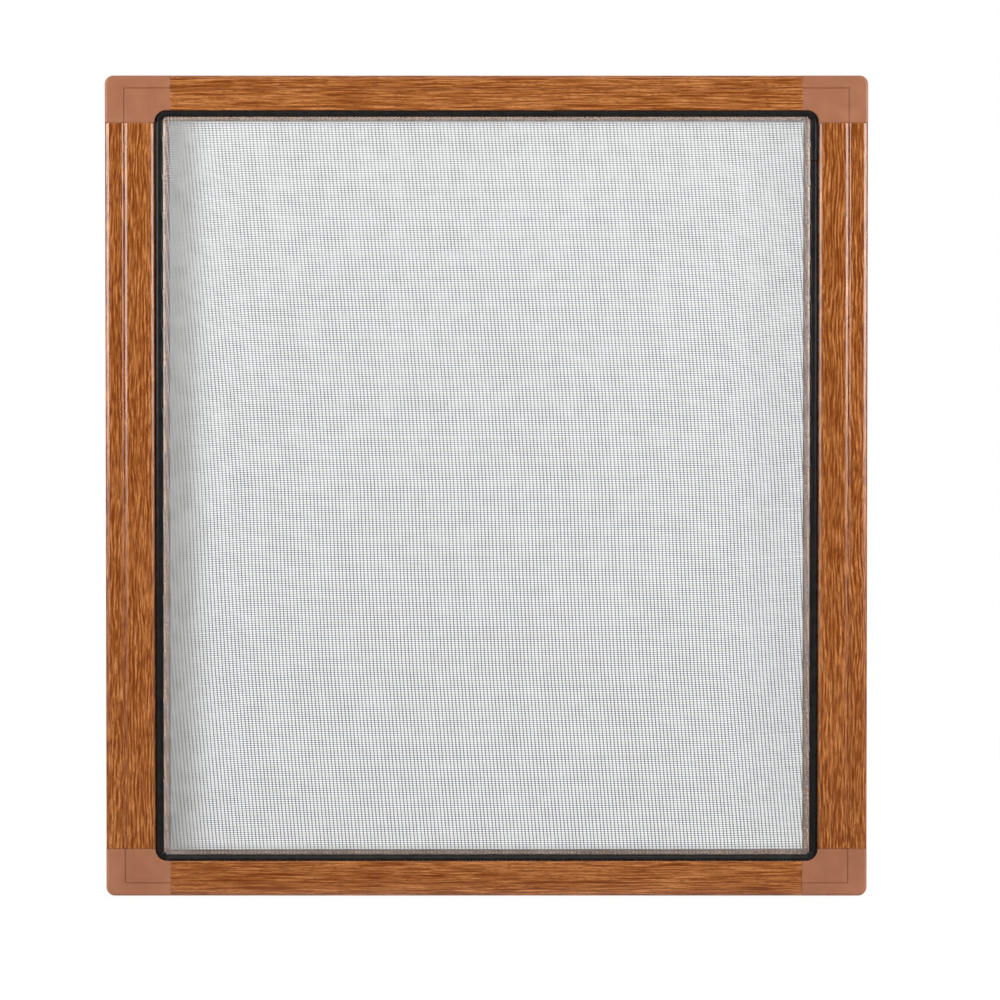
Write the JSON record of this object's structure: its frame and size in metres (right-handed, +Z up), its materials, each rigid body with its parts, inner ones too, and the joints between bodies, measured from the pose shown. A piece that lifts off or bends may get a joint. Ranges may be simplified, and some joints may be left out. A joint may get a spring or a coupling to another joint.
{
  "type": "window screen frame",
  "caption": "Framed insect screen: wood-grain hollow bars, moulded brown corners and grey woven mesh held in a groove by a black cord.",
  "frame": {"origin": "middle of the frame's box, at half its depth", "axes": "+Z up, +X across to the right seen from the front, +Y into the window, so the front face looks along -Y"},
  "size_m": [0.3, 0.01, 0.323],
  "materials": {
    "wood_grain_bar": "wood-grain coated, satin",
    "corner_plastic": "moulded brown, satin",
    "mesh_cloth": "coated fibreglass thread, grey",
    "cord_rubber": "extruded black, slightly glossy"
  },
  "bodies": {
    "root": {"left_stile": "wood_grain_bar", "right_stile": "wood_grain_bar", "top_rail": "wood_grain_bar", "bottom_rail": "wood_grain_bar", "top_left_corner": "corner_plastic", "top_right_corner": "corner_plastic", "bottom_left_corner": "corner_plastic", "bottom_right_corner": "corner_plastic", "mesh": "mesh_cloth", "spline": "cord_rubber"}
  },
  "joints": []
}
